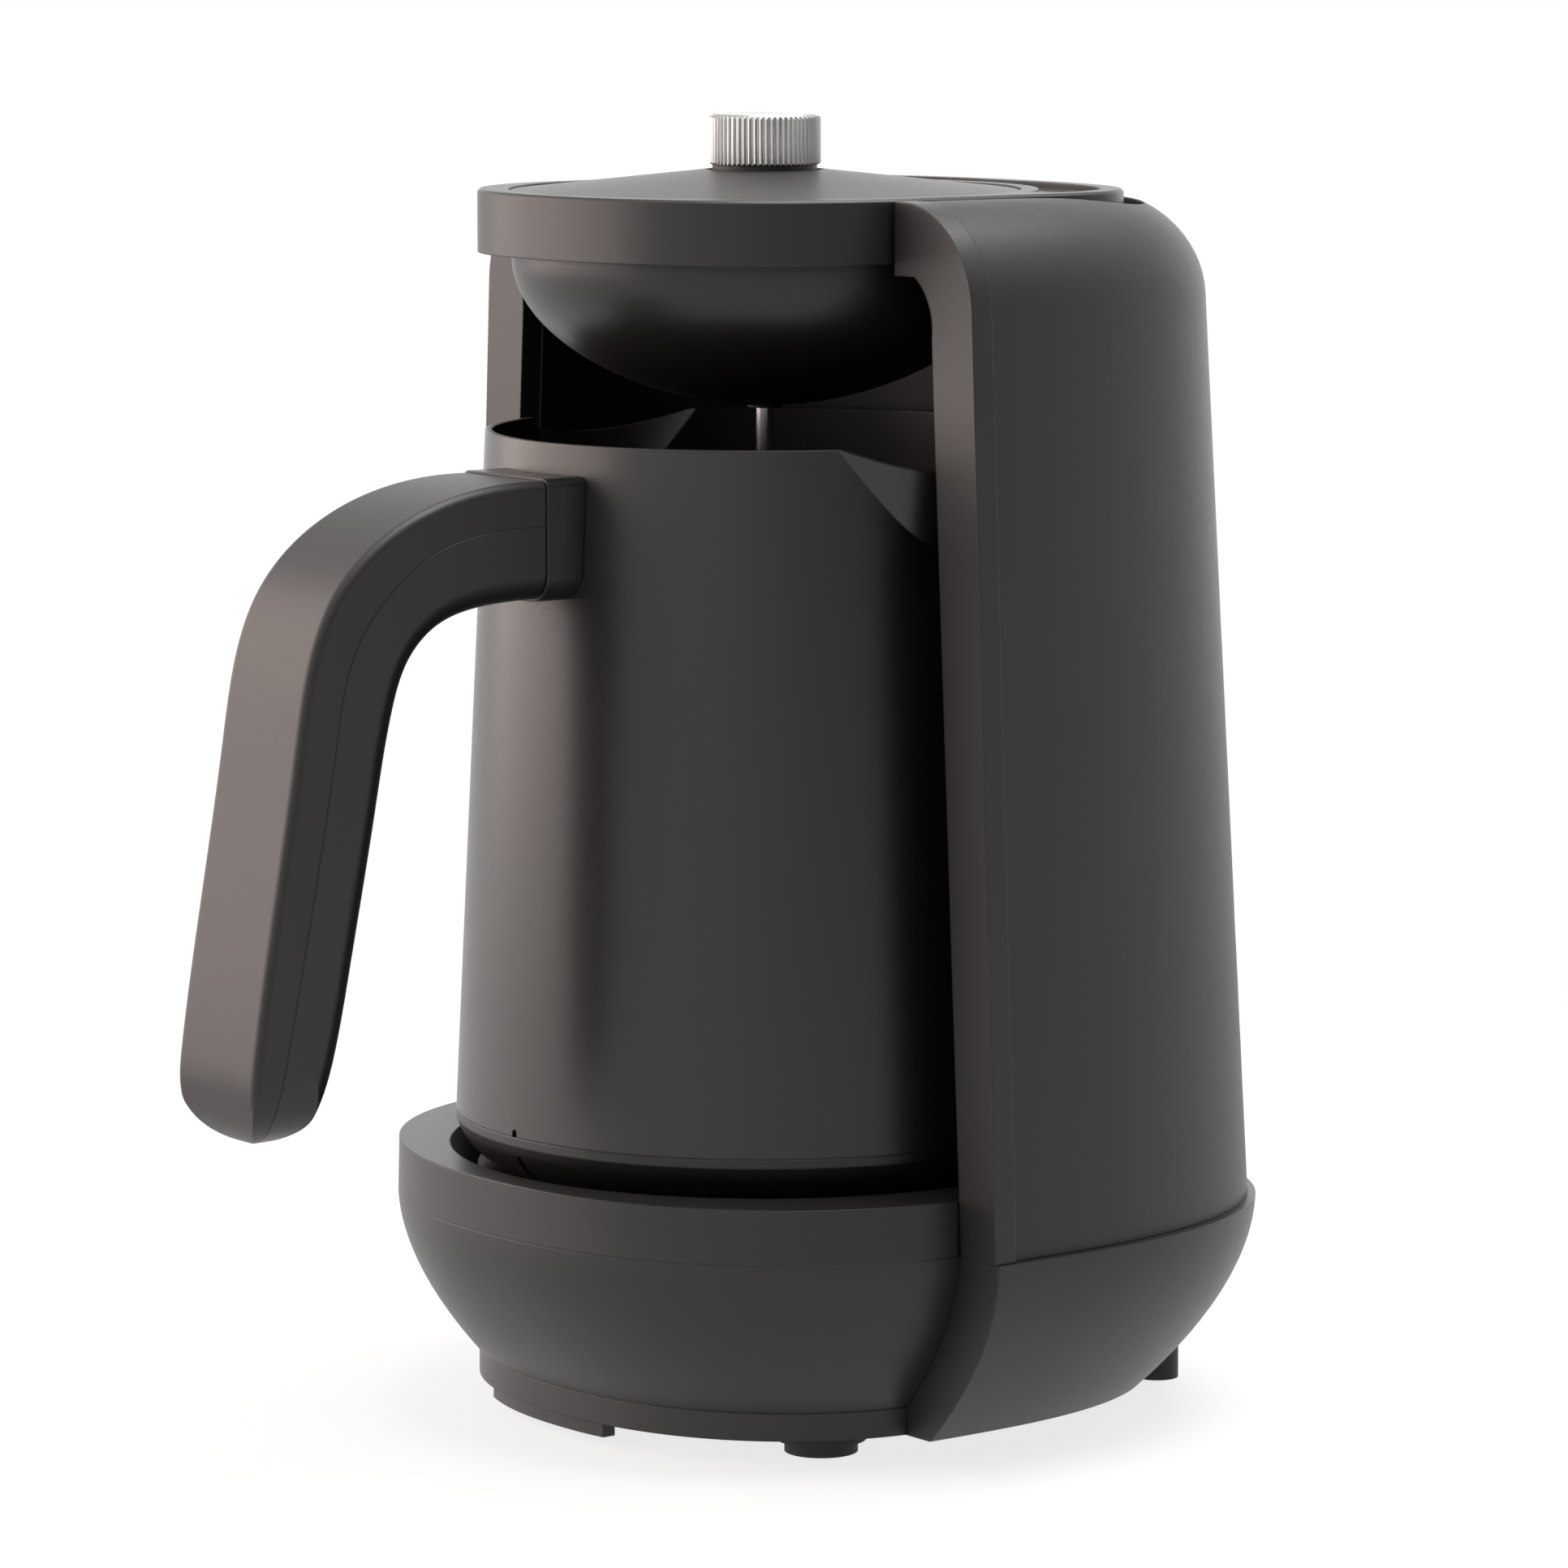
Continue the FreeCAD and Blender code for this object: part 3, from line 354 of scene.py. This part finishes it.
def make_knob():
    """The selector knob: a turned core with sixty rounded ribs and a slightly dished top."""
    low = KNOB_LOW
    high = KNOB_HIGH
    core = softened([
        (KNOB_BORE_R, low, 0), (KNOB_CORE_R, low, 0.15), (KNOB_CORE_R, high - 0.35, 0.3),
        (9.2, high, 0.25), (7.6, high - 0.05, 0.1), (0.01, high - 0.25, 0),
        (0.01, high - 3.0, 0), (KNOB_BORE_R, high - 3.0, 0)])
    knob = turned_form("selector_knob_turned", core, KNOB, 240)
    half = math.pi * KNOB_CORE_R / KNOB_RIBS
    section = [(9.4, half * 0.95), (9.72, half * 0.62), (9.9, half * 0.3), (9.97, 0.0),
               (9.9, -half * 0.3), (9.72, -half * 0.62), (9.4, -half * 0.95)]
    # heights along a rib, each with the radius that its section is trimmed to there
    stations = [(low + 0.02, 9.45), (low + 0.35, 20.0), (high - 0.75, 20.0),
                (high - 0.35, 9.65), (high - 0.2, 9.35)]
    points = []
    faces = []
    for z, limit in stations:
        for x, y in section:
            points.append((min(x, limit), y - SHIFT, z))
    wide = len(section)
    for row in range(len(stations) - 1):
        for j in range(wide - 1):
            k = row * wide + j
            faces.append((k, k + wide, k + wide + 1, k + 1))
    rib = mesh_object("knob_rib", points, faces, KNOB, 60.0)
    node_modifier(knob, ribs_round_tree(), {
        "Rib": rib, "Count": KNOB_RIBS, "Axis place": (0.0, SHIFT * MM, 0.0), "Surface": KNOB})
    bpy.data.objects.remove(rib)
    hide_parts("selector_knob")
    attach(knob, "selector_knob")


def make_base_screws():
    """Four cross-head screws under the base."""
    form = softened([
        (0.01, SCREW_LOW, 0), (2.6, SCREW_LOW, 0.3), (2.95, 5.0, 0.1), (2.95, 5.85, 0.1),
        (1.45, 5.85, 0), (1.45, SCREW_HIGH, 0.2), (0.01, SCREW_HIGH, 0)])
    screw = turned_form("screw_form", form, STEEL, 48)
    for a, b in ((CROSS_LONG, CROSS_SHORT), (CROSS_SHORT, CROSS_LONG)):
        outline = ((-a, -b), (a, -b), (a, b), (-a, b))
        corners = [(x, y, z) for z in (3.0, 5.45) for x, y in outline]
        sides = [(3, 2, 1, 0), (4, 5, 6, 7), (0, 1, 5, 4), (1, 2, 6, 5), (2, 3, 7, 6), (3, 0, 4, 7)]
        bar = mesh_object("cross_bar", corners, sides, STEEL)
        cut = screw.modifiers.new("cross", "BOOLEAN")
        cut.object = bar
        cut.operation = "DIFFERENCE"
        settle(screw)
        bpy.data.objects.remove(bar)
    data = bpy.data.meshes.new("screw_places")
    data.from_pydata([(x * MM, y * MM, 0.0) for x, y in SCREW_PLACES], [], [])
    screws = bpy.data.objects.new("base_cross_screws", data)
    bpy.context.scene.collection.objects.link(screws)
    node_modifier(screws, copies_tree(), {"Item": screw, "Surface": STEEL})
    bpy.data.objects.remove(screw)
    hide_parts("base_screws")
    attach(screws, "base")


make_knob()
make_base_screws()


# Camera: at the photo's angle, solved from the pot's and head's circles

camera_data = bpy.data.cameras.new("camera")
camera_data.lens = 151.98
camera_data.sensor_width = 36.0
camera_data.dof.use_dof = False
camera_data.clip_end = 20.0
camera = bpy.data.objects.new("camera", camera_data)
camera.location = (932.356 * MM, (-722.687 + SHIFT) * MM, 269.5 * MM)
camera.rotation_euler = (math.radians(82.434), 0, math.radians(52.054))
bpy.context.scene.collection.objects.link(camera)
bpy.context.scene.camera = camera


# Light: a large warm panel on the left, a soft one on top and a weak one behind

def panel(name, place, aim, size, power, colour):
    """A rectangular soft light pointed at a place."""
    data = bpy.data.lights.new(name, "AREA")
    data.shape = "RECTANGLE"
    data.size, data.size_y = size
    data.energy = power
    data.color = linear(colour)[:3]
    lamp = bpy.data.objects.new(name, data)
    lamp.location = place
    lamp.rotation_euler = (Vector(aim) - Vector(place)).to_track_quat("-Z", "Y").to_euler()
    lamp.visible_camera = False
    bpy.context.scene.collection.objects.link(lamp)


panel("left_panel", (-1.02, -0.95, 0.34), (0, 0, 0.12), (1.9, 1.3), 24.0, "ffe9df")
panel("back_panel", (-0.80, 1.10, 0.32), (0, 0, 0.15), (1.8, 0.7), 3.0, "ffffff")
panel("top_panel", (0.15, 0.25, 1.3), (0, 0, 0.1), (0.9, 0.9), 14.0, "ffffff")


def background_rays(tree):
    """One for the rays that see the white studio: the camera's, and those of mirrors and glass."""
    path = add(tree, "ShaderNodeLightPath")
    share = path.outputs["Is Camera Ray"]
    for ray in ("Is Glossy Ray", "Is Transmission Ray"):
        either = add(tree, "ShaderNodeMath", {0: share, 1: path.outputs[ray]}, operation="MAXIMUM")
        share = either.outputs[0]
    return share


world = bpy.data.worlds.new("studio")
bpy.context.scene.world = world
world.use_nodes = True
tree = world.node_tree
tree.nodes.clear()
# a dark flag stands on the right, so glossy sides that face it stay dark
# the camera sees plain white there too
way = add(tree, "ShaderNodeTexCoord")
right = add(tree, "ShaderNodeSeparateXYZ", {"Vector": way.outputs["Generated"]})
flag = add(tree, "ShaderNodeMapRange", {"Value": right.outputs["X"]}, From_Min=0.55, From_Max=1.0,
           To_Min=1.0, To_Max=0.2)
path = add(tree, "ShaderNodeLightPath")
level = add(tree, "ShaderNodeMath", {0: flag.outputs["Result"], 1: path.outputs["Is Camera Ray"]},
            operation="MAXIMUM")
white = add(tree, "ShaderNodeBackground", {"Strength": level.outputs[0]}, Color=linear("ffffff"))
dim = add(tree, "ShaderNodeBackground", Color=linear("d8d4d2"), Strength=0.15)
studio = add(tree, "ShaderNodeMixShader",
             {0: background_rays(tree), 1: dim.outputs[0], 2: white.outputs[0]})
add(tree, "ShaderNodeOutputWorld", {"Surface": studio.outputs[0]})

# white studio floor: lit near the object so that its shadow is kept, plain white farther out
floor_look = satin("studio_floor_paint", "8c8c8c", "909090", 0.8, grain_mm=2.0, grain=0.02)
tree = floor_look.node_tree
matte = tree.nodes["Principled BSDF"]
glow = add(tree, "ShaderNodeEmission", Color=linear("ffffff"), Strength=0.78)
lit = add(tree, "ShaderNodeAddShader", {0: matte.outputs[0], 1: glow.outputs[0]})
place = add(tree, "ShaderNodeTexCoord")
away = add(tree, "ShaderNodeVectorMath", {0: place.outputs["Object"]}, operation="LENGTH")
fade = add(tree, "ShaderNodeMapRange", {"Value": away.outputs["Value"]},
           From_Min=SHADOW_NEAR, From_Max=SHADOW_FAR)
plain = add(tree, "ShaderNodeEmission", Color=linear("ffffff"), Strength=1.0)
ground = add(tree, "ShaderNodeMixShader",
             {0: fade.outputs["Result"], 1: lit.outputs[0], 2: plain.outputs[0]})
dark = add(tree, "ShaderNodeBsdfDiffuse", Color=linear("7a7a7a"))
choice = add(tree, "ShaderNodeMixShader",
             {0: background_rays(tree), 1: dark.outputs[0], 2: ground.outputs[0]})
tree.links.new(choice.outputs[0], tree.nodes["Material Output"].inputs["Surface"])
bpy.ops.mesh.primitive_plane_add(size=FLOOR_SIZE, location=(0, 0, 0))
floor = bpy.context.object
floor.name = "studio_floor"
dress(floor, floor_look)

bpy.context.scene.view_settings.view_transform = "Standard"
